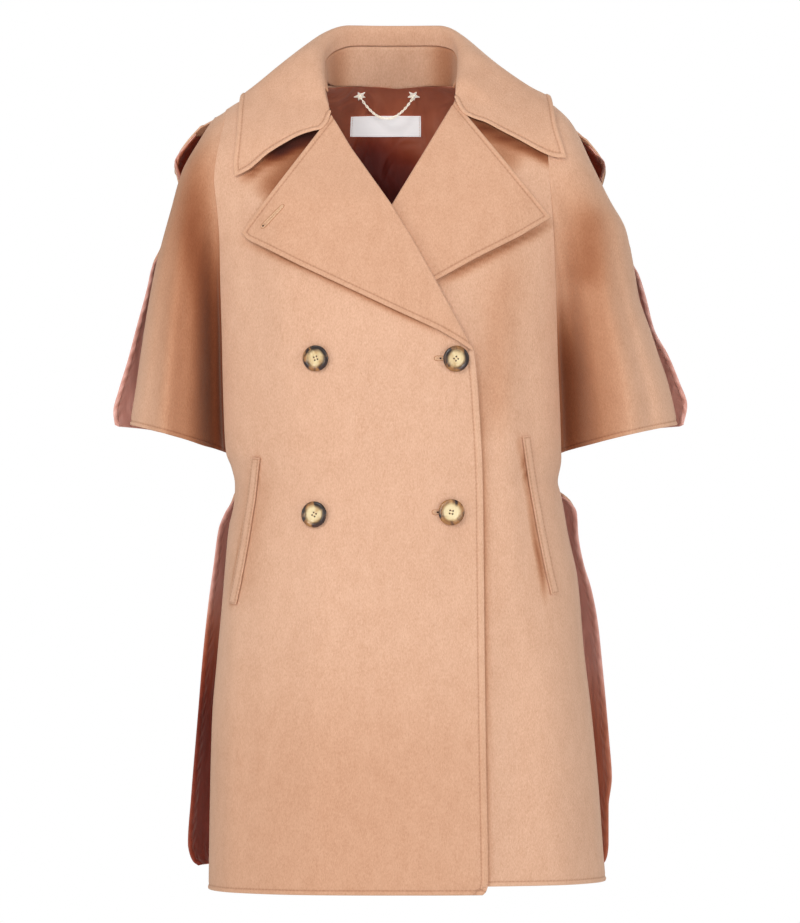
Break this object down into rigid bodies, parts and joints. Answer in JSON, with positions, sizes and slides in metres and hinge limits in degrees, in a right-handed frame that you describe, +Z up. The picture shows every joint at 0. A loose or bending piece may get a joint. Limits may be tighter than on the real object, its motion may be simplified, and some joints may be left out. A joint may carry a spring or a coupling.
{
  "type": "wool cape coat",
  "caption": "Hollow double-breasted wool cape coat with a wide collar, pointed lapels, short cape sleeves, side slits and a contrast lining, filled out as worn.",
  "frame": {"origin": "middle of the neck base, where the wearer's neck passes through", "axes": "+Z up the wearer's spine, -Y out of the garment's front, -X the wearer's right side"},
  "size_m": [0.615, 0.3155, 0.9348],
  "materials": {
    "camel_wool": "felted nap, matt",
    "mauve_lining": "satin",
    "horn": "polished horn",
    "pale_gilt": "polished",
    "white_tape": "woven satin tape, blank"
  },
  "bodies": {
    "root": {"front_right": "camel_wool", "front_left": "camel_wool", "lapel_right": "camel_wool", "lapel_left": "camel_wool", "back": "camel_wool", "sleeve_front_right": "camel_wool", "sleeve_front_left": "camel_wool", "sleeve_back_right": "camel_wool", "sleeve_back_left": "camel_wool", "storm_flap": "camel_wool", "collar": "camel_wool", "collar_stand": "camel_wool", "pocket_welt_right": "camel_wool", "pocket_welt_left": "camel_wool", "back_lining": "mauve_lining", "sleeve_lining_right": "mauve_lining", "sleeve_lining_left": "mauve_lining", "storm_flap_lining": "mauve_lining", "button_1": "horn", "button_2": "horn", "button_3": "horn", "button_4": "horn", "hanger_chain": "pale_gilt", "hanger_star_right": "pale_gilt", "hanger_star_left": "pale_gilt", "neck_label": "white_tape"}
  },
  "joints": []
}
